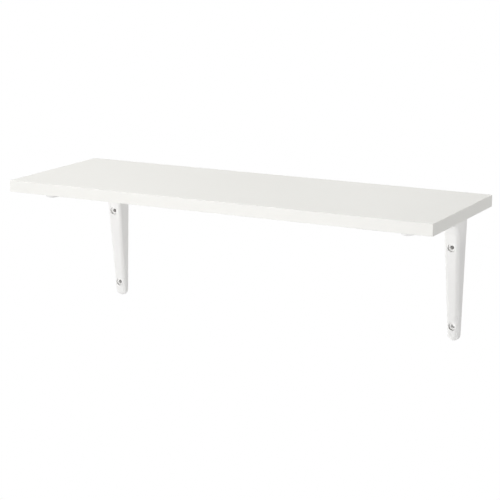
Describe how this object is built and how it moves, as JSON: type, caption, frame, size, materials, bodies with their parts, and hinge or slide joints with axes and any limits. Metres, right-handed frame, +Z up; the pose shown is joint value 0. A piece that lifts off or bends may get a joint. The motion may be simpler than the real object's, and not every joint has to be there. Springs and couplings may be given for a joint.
{
  "type": "wall shelf with brackets",
  "caption": "Flat rectangular wall shelf board with banded edges on two moulded L brackets, whose tapered round-tipped limbs run down the wall and under the board and have recessed screw holes.",
  "frame": {"origin": "Centre of the four wall screw holes, on the wall plane.", "axes": "+X runs along the board's length to the right, +Y points into the wall, +Z is up."},
  "size_m": [0.59, 0.2, 0.1935],
  "materials": {
    "particleboard": "raw pressed chips",
    "board_foil": "white printed foil with a faint satin sheen",
    "edge_band": "white plastic band, satin",
    "bracket_plastic": "white moulded plastic with a fine texture",
    "screw_zinc": "bright zinc plated"
  },
  "bodies": {
    "root": {"board_core": "particleboard", "top_foil": "board_foil", "bottom_foil": "board_foil", "front_edge_band": "edge_band", "back_edge_band": "edge_band", "left_edge_band": "edge_band", "right_edge_band": "edge_band", "left_bracket": "bracket_plastic", "right_bracket": "bracket_plastic", "left_rear_screw": "screw_zinc", "left_front_screw": "screw_zinc", "right_rear_screw": "screw_zinc", "right_front_screw": "screw_zinc"}
  },
  "joints": []
}
